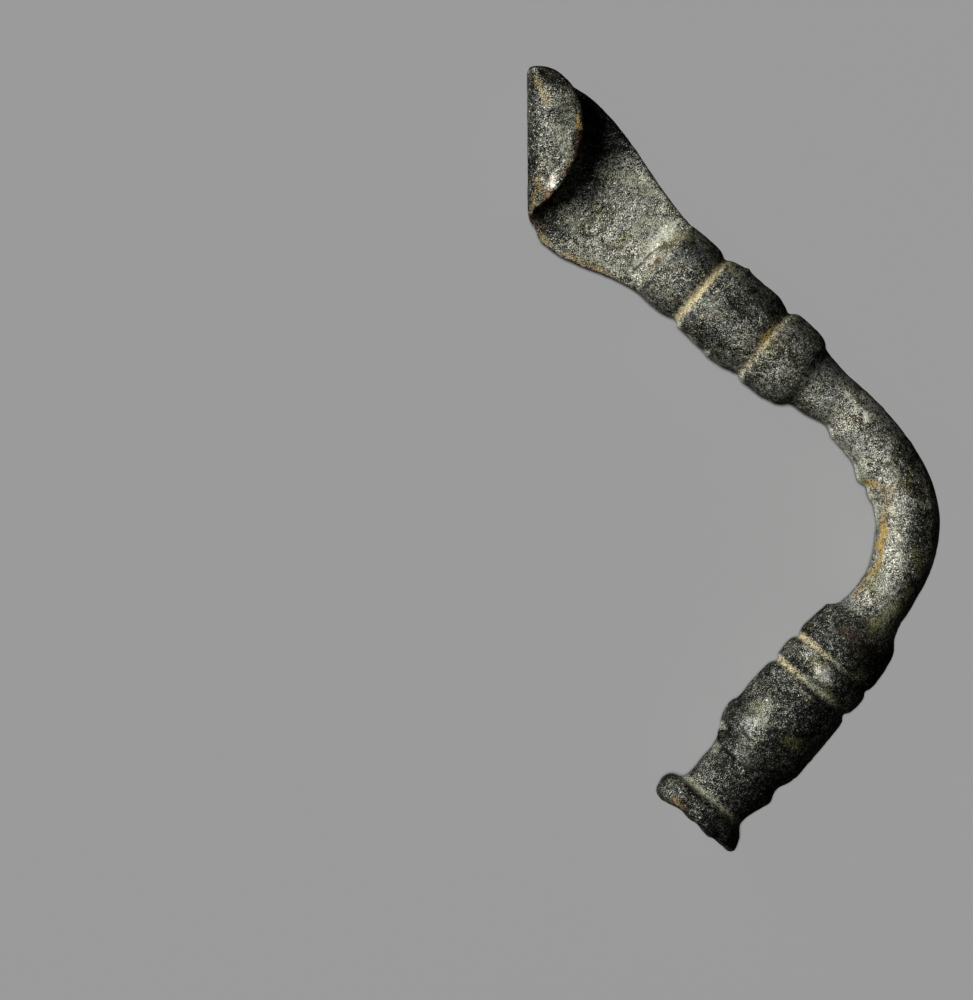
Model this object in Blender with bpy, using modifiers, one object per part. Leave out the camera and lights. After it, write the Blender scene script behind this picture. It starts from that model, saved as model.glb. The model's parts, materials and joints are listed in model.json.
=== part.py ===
"""A bow brooch (fibula) cast in bronze, lying on its side with the folded catch up.

The bow, both moulded arms and the catch plate are one casting, so they are one solid. The pin and
its spring are lost: the lower arm ends in the flange where they broke away.
"""

import math

import bmesh
import bpy
from mathutils import Matrix, Vector
from mathutils.geometry import interpolate_bezier

MM = 0.001
COLLECTION_NAME = "fibula_brooch"
PIECE_NAME = "bow_and_catchplate"

# The way each arm's axis points, seen from above, in degrees from +X
LOWER_ARM_ANGLE = 49.3
UPPER_ARM_ANGLE = 140.5

# Lower arm: the turned members from the broken end up to the bow. A drop is how far a member's
# ends stand below its crown
FLANGE_FACE_RADIUS = 2.6 * MM
FLANGE_BEVEL = 0.45 * MM
FLANGE_LENGTH = 1.7 * MM
FLANGE_RADIUS = 3.3 * MM
FLANGE_DROP = 0.08 * MM
NECK_LENGTH = 4.2 * MM
NECK_RADIUS = 2.35 * MM
NECK_END_RADIUS = 2.5 * MM
LONG_BARREL_LENGTH = 5.8 * MM
LONG_BARREL_RADIUS = 3.3 * MM
LONG_BARREL_DROP = 0.2 * MM
RING_LENGTH = 1.5 * MM
RING_RADIUS = 3.2 * MM
RING_DROP = 0.08 * MM
LOWER_BEAD_LENGTH = 2.6 * MM
LOWER_BEAD_RADIUS = 3.1 * MM
LOWER_BEAD_DROP = 0.15 * MM
LOWER_GROOVE_RADIUS = 2.85 * MM

# Bow: how far each arm's axis runs on to the corner where the two would meet, and how far the bow
# follows it, where 0 cuts the corner straight and 1 fills it
LOWER_REACH = 10.95 * MM
UPPER_REACH = 13.8 * MM
LOWER_FULLNESS = 0.73
UPPER_FULLNESS = 0.75
BOW_FILLET_LENGTH = 2.1 * MM
BOW_LOWER_RADIUS = 1.93 * MM
BOW_ELBOW_RADIUS = 2.13 * MM
BOW_WAIST_RADIUS = 1.78 * MM
BOW_UPPER_RADIUS = 2.15 * MM
ELBOW_AT = 0.4
WAIST_AT = 0.85

# Upper arm: the turned members from the bow to the plate
STEP_LENGTH = 0.9 * MM
COLLAR_LENGTH = 2.6 * MM
COLLAR_RADIUS = 2.97 * MM
COLLAR_DROP = 0.08 * MM
SHORT_BARREL_LENGTH = 4.8 * MM
SHORT_BARREL_RADIUS = 3.08 * MM
SHORT_BARREL_DROP = 0.2 * MM
END_COLLAR_LENGTH = 3.1 * MM
END_COLLAR_RADIUS = 2.93 * MM
END_COLLAR_DROP = 0.08 * MM
UPPER_GROOVE_RADIUS = 2.6 * MM

# The grooves between members, with the share of them that is level floor, and the rounding of a
# member's edges
GROOVE_WIDTH = 0.45 * MM
GROOVE_FLOOR = 0.3
EDGE_ROUND = 0.2 * MM

# Plate: a fan of sheet from the end collar to the fold, which crosses the arm's axis at a slant.
# It lies below the axis, and its front is scooped out just past the collar
PLATE_REACH = 11.85 * MM
PLATE_THICKNESS = 0.85 * MM
PLATE_SINK = 0.6 * MM
PLATE_OVERLAP = 0.5 * MM
PLATE_ROOT_INSET = 0.09 * MM
FOLD_SLANT = 50.0
OUTER_WIDTH = 4.7 * MM
OUTER_FLARE = 0.8 * MM
OUTER_BULGE = 1.3 * MM
INNER_WIDTH = 4.1 * MM
INNER_FLARE = 0.2 * MM
INNER_BULGE = 0.75 * MM
SCOOP_LENGTH = 2.0 * MM
RIM_THINNING = 0.55
TOP_CORNER_RISE = 0.9 * MM
BOTTOM_CORNER_RISE = 0.5 * MM

# Catch: the fold narrows like a cone from the top corner to the bottom one, and its flap is a leaf
# that is widest nearer the top
FOLD_RADIUS_TOP = 1.85 * MM
FOLD_RADIUS_BOTTOM = 0.65 * MM
FOLD_HEIGHT_TOP = 1.6 * MM
FOLD_HEIGHT_BOTTOM = 0.6 * MM
FLAP_WIDTH = 3.73 * MM
FLAP_CORNER_WIDTH = 0.65 * MM
FLAP_SKEW = 0.65
FLAP_DROOP = 8.0

# How much is taken off the crowns that the brooch lies on, so that it rests without rolling
RESTING_SPOT_DEPTH = 0.12 * MM

# Fineness of the mesh, and how often the resting place is looked for again
BEVEL_RESOLUTION = 13
MEMBER_STEP = 0.75 * MM
BOW_STATIONS = 28
PLATE_ROWS = 13
FOLD_ROWS = 12
PLATE_COLUMNS = 21
COLUMN_CROWDING = 1.3
SETTLING_TURNS = 4
SHARP_EDGE_ANGLE = 40.0

# Bronze under a nearly black patina
PATINA_COLOUR = (0.055, 0.054, 0.045, 1.0)
PATINA_ROUGHNESS = 0.6
PATINA_METALLIC = 0.5

UP = Vector((0, 0, 1))
# How far the middle of a quarter round stands in from its corner, as a share of its radius
ROUND_INSET = 1 - math.cos(math.radians(45))


def clear_scene():
    for item in list(bpy.data.objects):
        bpy.data.objects.remove(item, do_unlink=True)


def collection_named(name):
    collection = bpy.data.collections.new(name)
    bpy.context.scene.collection.children.link(collection)
    return collection


def direction(degrees):
    """The level unit vector at this many degrees from +X."""
    angle = math.radians(degrees)
    return Vector((math.cos(angle), math.sin(angle), 0))


def mix(first, last, share):
    return first + (last - first) * share


def ease(share):
    """Runs from 0 to 1 with a level start and a level end."""
    return (1 - math.cos(math.pi * min(max(share, 0), 1))) / 2


def eased_between(keys, share):
    """The value at a share of the way along (share, value) keys, with smooth turns at each key."""
    for (start, first), (end, last) in zip(keys, keys[1:]):
        if share <= end:
            return mix(first, last, ease((share - start) / (end - start)))
    return keys[-1][1]


def member(length, radius, drop):
    """A turned member: its length and the (distance, radius) stations of a swollen side between
    rounded edges."""
    steps = max(3, round(length / MEMBER_STEP))
    inset = ROUND_INSET * EDGE_ROUND
    foot = radius - drop - EDGE_ROUND
    corner = radius - drop - inset
    side = [(0.0, foot), (inset, corner)]
    for step in range(steps + 1):
        share = step / steps
        along = mix(EDGE_ROUND, length - EDGE_ROUND, share)
        side.append((along, radius - drop * (2 * share - 1) ** 2))
    side += [(length - inset, corner), (length, foot)]
    return length, side


def groove(radius):
    """A groove with a narrow level floor."""
    wall = GROOVE_WIDTH * (1 - GROOVE_FLOOR) / 2
    return GROOVE_WIDTH, [(wall, radius), (GROOVE_WIDTH - wall, radius)]


def taper(length, first, last):
    """A plain stretch that eases from one radius to another."""
    steps = max(3, round(length / MEMBER_STEP))
    stations = []
    for step in range(steps):
        share = (step + 0.5) / steps
        stations.append((length * share, mix(first, last, ease(share))))
    return length, stations


def flange_face():
    """The bevelled rim of the broken end: its level face, then the slope out to the flange."""
    return FLANGE_BEVEL, [(0.0, FLANGE_FACE_RADIUS)]


def end_to_end(members):
    """Sets members one after another: their whole length and all their stations."""
    start, stations = 0.0, []
    for length, shape in members:
        stations += [(start + along, radius) for along, radius in shape]
        start += length
    return start, stations


def lower_members():
    return end_to_end([
        flange_face(),
        member(FLANGE_LENGTH - FLANGE_BEVEL, FLANGE_RADIUS, FLANGE_DROP),
        taper(NECK_LENGTH, NECK_RADIUS, NECK_END_RADIUS),
        member(LONG_BARREL_LENGTH, LONG_BARREL_RADIUS, LONG_BARREL_DROP),
        groove(LOWER_GROOVE_RADIUS),
        member(RING_LENGTH, RING_RADIUS, RING_DROP),
        groove(LOWER_GROOVE_RADIUS),
        member(LOWER_BEAD_LENGTH, LOWER_BEAD_RADIUS, LOWER_BEAD_DROP),
    ])


def upper_members():
    return end_to_end([
        taper(STEP_LENGTH, BOW_UPPER_RADIUS, COLLAR_RADIUS - COLLAR_DROP - EDGE_ROUND),
        member(COLLAR_LENGTH, COLLAR_RADIUS, COLLAR_DROP),
        groove(UPPER_GROOVE_RADIUS),
        member(SHORT_BARREL_LENGTH, SHORT_BARREL_RADIUS, SHORT_BARREL_DROP),
        groove(UPPER_GROOVE_RADIUS),
        member(END_COLLAR_LENGTH, END_COLLAR_RADIUS, END_COLLAR_DROP),
    ])


def bow_stations(start, start_way, end, end_way):
    """(place, radius) pairs along the bow, which turns from one arm's way to the other's."""
    places = interpolate_bezier(
        start,
        start + start_way * LOWER_REACH * LOWER_FULLNESS,
        end - end_way * UPPER_REACH * UPPER_FULLNESS,
        end,
        BOW_STATIONS,
    )
    runs = [0.0]
    for before, after in zip(places, places[1:]):
        runs.append(runs[-1] + (after - before).length)
    whole = runs[-1]
    keys = [
        (0.0, LOWER_BEAD_RADIUS - LOWER_BEAD_DROP - EDGE_ROUND),
        (BOW_FILLET_LENGTH / whole, BOW_LOWER_RADIUS),
        (ELBOW_AT, BOW_ELBOW_RADIUS),
        (WAIST_AT, BOW_WAIST_RADIUS),
        (1.0, BOW_UPPER_RADIUS),
    ]
    stations = [(place, eased_between(keys, run / whole)) for place, run in zip(places, runs)]
    return stations[1:]


class Axis:
    """The line through both arms and the bow, with a radius at each of its stations."""

    def __init__(self):
        self.lower_way = direction(LOWER_ARM_ANGLE)
        self.upper_way = direction(UPPER_ARM_ANGLE)
        lower_length, lower = lower_members()
        upper_length, upper = upper_members()
        bow_start = self.lower_way * lower_length
        corner = bow_start + self.lower_way * LOWER_REACH
        bow_end = corner + self.upper_way * UPPER_REACH
        self.plate_start = bow_end + self.upper_way * upper_length
        self.stations = [(self.lower_way * along, radius) for along, radius in lower]
        self.stations += bow_stations(bow_start, self.lower_way, bow_end, self.upper_way)
        self.stations += [(bow_end + self.upper_way * along, radius) for along, radius in upper]


def swept_arm(axis, collection):
    """Bow and arms: a curve along the axis whose bevel takes each station's radius, as a mesh."""
    curve = bpy.data.curves.new("bow_axis", "CURVE")
    curve.dimensions = "3D"
    curve.twist_mode = "Z_UP"
    curve.bevel_depth = 1.0
    curve.bevel_resolution = BEVEL_RESOLUTION
    curve.use_fill_caps = True
    spline = curve.splines.new("POLY")
    spline.points.add(len(axis.stations) - 1)
    for point, (place, radius) in zip(spline.points, axis.stations):
        point.co = (*place, 1)
        point.radius = radius
    source = bpy.data.objects.new("bow_axis", curve)
    collection.objects.link(source)
    return closed_mesh(source)


def closed_mesh(source):
    """An object as its modifiers or bevel make it, as one closed mesh. The object is removed."""
    graph = bpy.context.evaluated_depsgraph_get()
    mesh = bpy.data.meshes.new_from_object(source.evaluated_get(graph))
    bpy.data.objects.remove(source, do_unlink=True)
    work = bmesh.new()
    work.from_mesh(mesh)
    bmesh.ops.remove_doubles(work, verts=work.verts, dist=0.001 * MM)
    bmesh.ops.recalc_face_normals(work, faces=work.faces)
    work.to_mesh(mesh)
    work.free()
    return mesh


class Plate:
    """The catch plate's middle surface, in the upper arm's own directions: along it, across it to
    the outer side, and up."""

    def __init__(self, axis):
        self.start = axis.plate_start
        self.along = axis.upper_way
        self.across = direction(UPPER_ARM_ANGLE - 90)
        slant = math.radians(FOLD_SLANT)
        self.crease_way = self.along * math.cos(slant) + self.across * math.sin(slant)
        self.beyond = self.along * math.sin(slant) - self.across * math.cos(slant)
        self.outer_edge = self.edge(1, OUTER_WIDTH, OUTER_FLARE, OUTER_BULGE, FOLD_RADIUS_TOP)
        self.inner_edge = self.edge(-1, INNER_WIDTH, INNER_FLARE, INNER_BULGE, FOLD_RADIUS_BOTTOM)

    def edge(self, side, width, flare, bulge, fold_radius):
        """A side of the fan from inside the collar to where the fold begins, as points."""
        root = END_COLLAR_RADIUS - PLATE_ROOT_INSET
        slant = math.radians(FOLD_SLANT)
        set_back = (fold_radius + PLATE_THICKNESS / 2) / math.sin(slant)
        reach = PLATE_REACH + side * width / math.tan(slant) - set_back
        return interpolate_bezier(
            self.place(-PLATE_OVERLAP, side * root),
            self.place(reach / 3, side * (root + flare)),
            self.place(reach * 2 / 3, side * (width + bulge)),
            self.place(reach, side * width),
            PLATE_ROWS,
        )

    def place(self, along, across):
        return self.start + self.along * along + self.across * across - UP * PLATE_SINK

    def fold_size(self, share):
        """The fold's reach and height, on the sheet's middle, at a share down from the top."""
        reach = mix(FOLD_RADIUS_TOP, FOLD_RADIUS_BOTTOM, share)
        height = mix(FOLD_HEIGHT_TOP, FOLD_HEIGHT_BOTTOM, share)
        return reach, height

    def column(self, share):
        """(place, thickness) pairs from the collar over the plate and round the fold to the lip."""
        roundness = math.sqrt(max(0.0, 1 - (2 * share - 1) ** 2))
        root = max(root_thickness() * roundness, PLATE_THICKNESS)
        pairs = []
        for outer, inner in zip(self.outer_edge, self.inner_edge):
            place = outer.lerp(inner, share)
            along = (place - self.start).dot(self.along)
            fill = min(max(1 - along / SCOOP_LENGTH, 0.0), 1.0) ** 2
            pairs.append((place, mix(PLATE_THICKNESS, root, fill)))
        return pairs + self.folded(pairs[-1][0], share)

    def folded(self, crease, share):
        """The fold and its flap beyond a point of the crease."""
        reach, height = self.fold_size(share)
        leaf = math.sin(math.pi * share ** FLAP_SKEW)
        width = mix(FLAP_CORNER_WIDTH * (1 - share), FLAP_WIDTH, leaf)
        lip = reach + PLATE_THICKNESS / 2 - width
        turn = math.pi - math.asin(min(max(lip / reach, 0.0), 1.0))
        bent, flat = reach * turn, max(0.0, -lip)
        rise = TOP_CORNER_RISE * (1 - share) ** 4 + BOTTOM_CORNER_RISE * share ** 4
        pairs = []
        for row in range(1, FOLD_ROWS + 1):
            run = (bent + flat) * row / FOLD_ROWS
            angle = turn * min(run / bent, 1.0)
            over = max(0.0, run - bent)
            out = self.beyond * (reach * math.sin(angle) - over)
            fall = over * math.tan(math.radians(FLAP_DROOP))
            up = UP * (height * (1 - math.cos(angle)) - fall)
            along = self.crease_way * rise * ease(row / FOLD_ROWS)
            pairs.append((crease + out + up + along, PLATE_THICKNESS))
        return pairs


def root_thickness():
    """How thick the sheet leaves the end collar: level with the collar's edge on the back."""
    return 2 * (END_COLLAR_RADIUS - END_COLLAR_DROP - EDGE_ROUND - PLATE_SINK)


def folded_plate(axis, collection):
    """The plate and catch: an open sheet with a thickness of its own at each point, as a mesh."""
    plate = Plate(axis)
    last_step = PLATE_COLUMNS - 1
    shares = [(step / last_step) ** COLUMN_CROWDING for step in range(PLATE_COLUMNS)]
    columns = [plate.column(share) for share in shares]
    rows = len(columns[0])
    places = [place for column in columns for place, _ in column]
    faces = []
    for column in range(PLATE_COLUMNS - 1):
        for row in range(rows - 1):
            first = column * rows + row
            faces.append((first, first + 1, first + rows + 1, first + rows))
    mesh = bpy.data.meshes.new("plate_sheet")
    mesh.from_pydata(places, [], faces)
    sheet = bpy.data.objects.new("plate_sheet", mesh)
    collection.objects.link(sheet)

    thickest = 2 * END_COLLAR_RADIUS
    group = sheet.vertex_groups.new(name="thickness")
    for number, column in enumerate(columns):
        at_side = number in (0, PLATE_COLUMNS - 1)
        for row, (_, thickness) in enumerate(column):
            at_rim = at_side or row == rows - 1
            share = thickness * (RIM_THINNING if at_rim else 1) / thickest
            group.add([number * rows + row], share, "REPLACE")
    solidify = sheet.modifiers.new("thickness", "SOLIDIFY")
    solidify.thickness = thickest
    solidify.offset = 0
    solidify.vertex_group = group.name
    return closed_mesh(sheet)


def joined(first, second, collection):
    """One object: the union of two closed meshes."""
    piece = bpy.data.objects.new(PIECE_NAME, first)
    collection.objects.link(piece)
    other = bpy.data.objects.new("plate_to_join", second)
    collection.objects.link(other)
    union = piece.modifiers.new("plate", "BOOLEAN")
    union.operation = "UNION"
    union.solver = "EXACT"
    union.object = other
    graph = bpy.context.evaluated_depsgraph_get()
    piece.data = bpy.data.meshes.new_from_object(piece.evaluated_get(graph))
    piece.modifiers.clear()
    bpy.data.objects.remove(other, do_unlink=True)
    return piece


def centre_of_mass(work):
    """The middle of a closed mesh's volume, summed over its triangles."""
    volume, total = 0.0, Vector()
    for face in work.faces:
        a, b, c = (vert.co for vert in face.verts)
        part = a.dot(b.cross(c)) / 6
        volume += part
        total += (a + b + c) / 4 * part
    return total / volume


def resting_normal(work, centre):
    """The outward normal of the face of the mesh's hull that lies straight below its centre."""
    hull = bmesh.new()
    for vert in work.verts:
        hull.verts.new(vert.co)
    bmesh.ops.convex_hull(hull, input=hull.verts, use_existing_faces=False)
    bmesh.ops.recalc_face_normals(hull, faces=hull.faces)
    found = -UP
    for face in hull.faces:
        if face.normal.z < 0 and stands_over(face, centre):
            found = face.normal.copy()
    hull.free()
    return found


def stands_over(face, centre):
    """Whether a vertical line through the centre passes through the face."""
    corners = [vert.co.xy for vert in face.verts]
    turns = [
        (after - before).cross(centre.xy - before)
        for before, after in zip(corners, corners[1:] + corners[:1])
    ]
    return all(turn <= 0 for turn in turns) or all(turn >= 0 for turn in turns)


def flatten_resting_spots(work):
    """Cuts the lowest crowns off level and closes the cuts."""
    lowest = min(vert.co.z for vert in work.verts)
    bmesh.ops.bisect_plane(
        work,
        geom=work.verts[:] + work.edges[:] + work.faces[:],
        plane_co=UP * (lowest + RESTING_SPOT_DEPTH),
        plane_no=UP,
        clear_inner=True,
    )
    bmesh.ops.holes_fill(work, edges=[edge for edge in work.edges if edge.is_boundary])
    bmesh.ops.triangulate(work, faces=work.faces)


def laid_down(piece):
    """Tilts the piece until it rests on three points, flattens those, then stands it on the
    floor, centred."""
    work = bmesh.new()
    work.from_mesh(piece.data)
    bmesh.ops.triangulate(work, faces=work.faces)
    for _ in range(SETTLING_TURNS):
        down = resting_normal(work, centre_of_mass(work))
        tilt = down.rotation_difference(-UP).to_matrix().to_4x4()
        bmesh.ops.transform(work, matrix=tilt, verts=work.verts)
    flatten_resting_spots(work)
    low = Vector(min(vert.co[axis] for vert in work.verts) for axis in range(3))
    high = Vector(max(vert.co[axis] for vert in work.verts) for axis in range(3))
    middle = (low + high) / 2
    lift = Matrix.Translation((-middle.x, -middle.y, -low.z))
    bmesh.ops.transform(work, matrix=lift, verts=work.verts)
    work.to_mesh(piece.data)
    work.free()


def patinated_bronze():
    material = bpy.data.materials.new("patinated_bronze")
    material.use_nodes = True
    shader = material.node_tree.nodes["Principled BSDF"]
    shader.inputs["Base Color"].default_value = PATINA_COLOUR
    shader.inputs["Roughness"].default_value = PATINA_ROUGHNESS
    shader.inputs["Metallic"].default_value = PATINA_METALLIC
    material.diffuse_color = PATINA_COLOUR
    return material


def build():
    clear_scene()
    collection = collection_named(COLLECTION_NAME)
    axis = Axis()
    arm = swept_arm(axis, collection)
    plate = folded_plate(axis, collection)
    piece = joined(arm, plate, collection)
    laid_down(piece)
    piece.data.materials.clear()
    piece.data.materials.append(patinated_bronze())
    piece.data.shade_smooth()
    piece.data.set_sharp_from_angle(angle=math.radians(SHARP_EDGE_ANGLE))


build()
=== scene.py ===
import json
import math

import bpy
import numpy as np
from mathutils import Matrix, Vector, noise
from mathutils.geometry import interpolate_bezier
from mathutils.kdtree import KDTree


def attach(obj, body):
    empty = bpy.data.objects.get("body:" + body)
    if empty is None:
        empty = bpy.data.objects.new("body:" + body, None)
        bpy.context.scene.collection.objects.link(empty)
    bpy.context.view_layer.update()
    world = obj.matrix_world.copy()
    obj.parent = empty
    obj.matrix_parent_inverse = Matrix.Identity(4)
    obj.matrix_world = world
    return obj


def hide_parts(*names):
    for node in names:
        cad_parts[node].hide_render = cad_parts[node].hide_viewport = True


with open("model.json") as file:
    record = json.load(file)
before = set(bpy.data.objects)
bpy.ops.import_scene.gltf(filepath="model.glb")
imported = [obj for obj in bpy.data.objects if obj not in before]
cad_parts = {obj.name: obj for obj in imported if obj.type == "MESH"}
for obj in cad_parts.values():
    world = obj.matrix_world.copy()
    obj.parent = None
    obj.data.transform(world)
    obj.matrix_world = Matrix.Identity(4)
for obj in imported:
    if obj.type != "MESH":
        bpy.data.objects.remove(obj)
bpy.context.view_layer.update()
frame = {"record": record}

MM = 0.001

# Sizes of the brooch, in mm. The main ones are those of the part's source, and the finer ones follow
# the photograph more closely

# The way each arm's axis points, seen from above, in degrees from +X
LOWER_ARM_ANGLE = 49.3
UPPER_ARM_ANGLE = 140.5
LOWER_ARM_LENGTH = 16.7
UPPER_ARM_LENGTH = 12.3

# How far each arm's axis runs on to the corner of the bow, and how far the bow fills that corner
LOWER_REACH = 10.95
UPPER_REACH = 13.8
LOWER_FULLNESS = 0.73
UPPER_FULLNESS = 0.75

# Half-widths of the arm to its inner and its outer side, by distance from the broken end. The
# casting is uneven, so the two sides differ
LOWER_ARM_SIDES = [
    # flange
    (0.0, 3.1, 2.85), (0.12, 3.5, 3.12), (0.4, 3.58, 3.12), (0.9, 3.62, 2.95),
    (1.15, 3.54, 2.82), (1.42, 3.38, 2.6), (1.56, 3.0, 2.46), (1.7, 2.66, 2.32),
    # neck
    (1.95, 2.56, 2.26), (2.4, 2.48, 2.3), (3.0, 2.5, 2.46), (3.6, 2.5, 2.68), (4.15, 2.48, 2.8),
    (4.5, 2.46, 2.74), (4.9, 2.54, 2.64), (5.2, 2.56, 2.62), (5.5, 2.66, 2.7), (5.8, 2.78, 2.86),
    # long barrel
    (6.0, 2.95, 2.95), (6.3, 3.22, 3.03), (6.7, 3.4, 3.11), (7.4, 3.53, 3.11), (7.8, 3.5, 3.08),
    (8.1, 3.32, 3.12), (8.7, 3.29, 3.12), (9.5, 3.34, 3.11), (10.5, 3.31, 3.11),
    (11.15, 3.27, 3.07), (11.45, 3.16, 2.98), (11.56, 3.06, 2.9),
    # groove
    (11.66, 2.92, 2.74), (11.96, 2.92, 2.74),
    # ring
    (12.06, 3.1, 2.9), (12.2, 3.21, 3.02), (12.8, 3.27, 3.12), (13.3, 3.24, 3.1),
    (13.58, 3.13, 3.05), (13.7, 3.02, 2.98),
    # groove
    (13.8, 2.84, 2.84), (14.08, 2.84, 2.84),
    # bead
    (14.2, 3.0, 2.98), (14.35, 3.07, 3.03), (14.75, 3.12, 3.06), (15.4, 3.03, 3.0),
    (15.9, 2.97, 2.96), (16.3, 2.92, 2.85), (16.7, 2.88, 2.8),
]
BOW_SIDES = [
    (0.2, 2.72, 2.72), (0.45, 2.46, 2.62), (0.7, 2.3, 2.42), (0.95, 2.23, 2.2), (1.2, 2.2, 2.06),
    (1.6, 2.1, 1.92), (2.1, 2.04, 1.82), (3.2, 1.99, 1.81), (3.7, 1.95, 1.8), (4.7, 2.03, 1.88),
    (5.7, 2.1, 1.94), (6.7, 2.18, 2.02), (7.5, 2.2, 2.04), (8.2, 2.12, 2.08), (9.7, 2.12, 2.08),
    (10.7, 2.18, 2.05), (11.7, 2.08, 2.02), (12.7, 2.07, 2.01), (13.5, 1.93, 1.97),
    (14.7, 1.9, 1.95), (15.7, 1.88, 1.98), (16.4, 1.86, 1.93), (16.85, 1.62, 1.92),
    (17.2, 1.55, 1.9), (17.7, 1.64, 1.88), (18.05, 1.78, 1.86), (18.7, 1.94, 1.87),
    (19.2, 1.99, 1.94), (19.9, 2.03, 2.05), (20.25, 2.16, 2.1),
]
UPPER_ARM_SIDES = [
    # step
    (0.0, 2.42, 2.14), (0.22, 2.62, 2.24), (0.47, 2.74, 2.52), (0.72, 2.79, 2.63),
    # collar
    (1.0, 2.84, 2.72), (1.35, 2.95, 2.78), (1.8, 3.0, 2.81), (2.6, 3.01, 2.86), (3.0, 3.02, 2.84),
    (3.24, 2.98, 2.72), (3.36, 2.9, 2.6),
    # groove
    (3.46, 2.76, 2.42), (3.76, 2.76, 2.42),
    # short barrel
    (3.88, 2.88, 2.58), (4.15, 2.94, 2.7), (4.5, 3.04, 2.85), (4.8, 3.12, 2.93), (5.5, 3.17, 2.97),
    (6.0, 3.19, 2.93), (6.3, 3.08, 2.95), (7.0, 3.08, 2.96), (7.5, 3.02, 3.01), (7.9, 2.98, 2.94),
    (8.3, 2.95, 2.87), (8.7, 2.91, 2.76), (8.86, 2.84, 2.66),
    # groove
    (8.98, 2.58, 2.46), (9.32, 2.58, 2.46),
    # end collar
    (9.46, 2.7, 2.68), (9.7, 2.79, 2.77), (10.0, 2.89, 2.84), (10.5, 2.94, 2.89),
    (11.0, 2.94, 2.91), (12.3, 2.87, 2.88),
]

# Middles of the grooves, by distance along their own arm
LOWER_GROOVES = (11.81, 13.94)
UPPER_GROOVES = (3.61, 9.15)
FLANGE_GROOVE = 1.78

# Plate: a fan of sheet from the end collar to the fold
PLATE_REACH = 11.85
PLATE_THICKNESS = 0.85
PLATE_SINK = 0.6
PLATE_OVERLAP = 0.5
PLATE_ROOT = 2.84
PLATE_ROOT_THICKNESS = 3.4
FOLD_SLANT = 50.0
OUTER_WIDTH, OUTER_FLARE, OUTER_BULGE = 4.75, 0.5, 1.4
INNER_WIDTH, INNER_FLARE, INNER_BULGE = 4.32, 0.0, 0.22
SCOOP_LENGTH = 1.5
RIM_THINNING = 0.6
# How far the flap's corners run on along the fold, and how fast that fades away from them
TOP_CORNER_RISE = 0.82
TOP_CORNER_FADING = 4
BOTTOM_CORNER_RISE = 1.75
BOTTOM_CORNER_FADING = 3

# The plate curls up towards the fold, most at the top corner
CURL_RISE = 0.7
CURL_LENGTH = 6.5

# Catch: the fold narrows from the top corner to the bottom one, and its flap is a leaf with a
# thick round lip
FOLD_RADIUS_TOP, FOLD_RADIUS_BOTTOM = 1.85, 0.65
FOLD_HEIGHT_TOP, FOLD_HEIGHT_BOTTOM = 1.3, 0.6
LIP_SWELLING = 1.0
LIP_ROWS = 12
# Shares of the fold, from the top corner, over which the lip swells and thins again
LIP_SWELLS = (0.25, 0.7)
LIP_THINS = (0.8, 0.97)
# Rows at the rim of the sheet over which its edge is rounded
RIM_ROWS = 4
FLAP_WIDTH = 3.73
FLAP_CORNER_WIDTH = 0.65
FLAP_SKEW = 0.56
FLAP_DROOP = 3.0

# How the brooch leans as it lies: the level part of the upward normal of its own plane
REST_LEAN = (0.0275, 0.0114)

# Fineness

RING_STEP = 0.09
RING_POINTS = 120
BOW_POINTS = 230
PLATE_ROWS = 70
FOLD_ROWS = 60
PLATE_COLUMNS = 90
# How much closer together the plate's columns are at the top corner
COLUMN_CROWDING = 1.3
VOXEL = 0.132
SMOOTHING = 0.5
SMOOTHING_TURNS = 1

# The photograph's frame

PHOTO_WIDTH, PHOTO_HEIGHT = 973, 1000
PIXELS_PER_MM = 15.0
# The pixel where the middle of the brooch's box falls
PHOTO_ORIGIN = (734.0, 458.0)

UP = Vector((0, 0, 1))


def from_hex(code):
    """An sRGB hex colour as linear RGBA."""
    parts = [int(code[place:place + 2], 16) / 255 for place in (1, 3, 5)]
    linear = [part / 12.92 if part <= 0.04045 else ((part + 0.055) / 1.055) ** 2.4
              for part in parts]
    return (*linear, 1.0)


def direction(degrees):
    angle = math.radians(degrees)
    return Vector((math.cos(angle), math.sin(angle), 0))


def mix(first, last, share):
    return first + (last - first) * share


def smooth(low, high, value):
    """Eases from 0 to 1 as the value goes from low to high."""
    share = np.clip((value - low) / (high - low), 0, 1)
    return share * share * (3 - 2 * share)


# The bow and its arms

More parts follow.
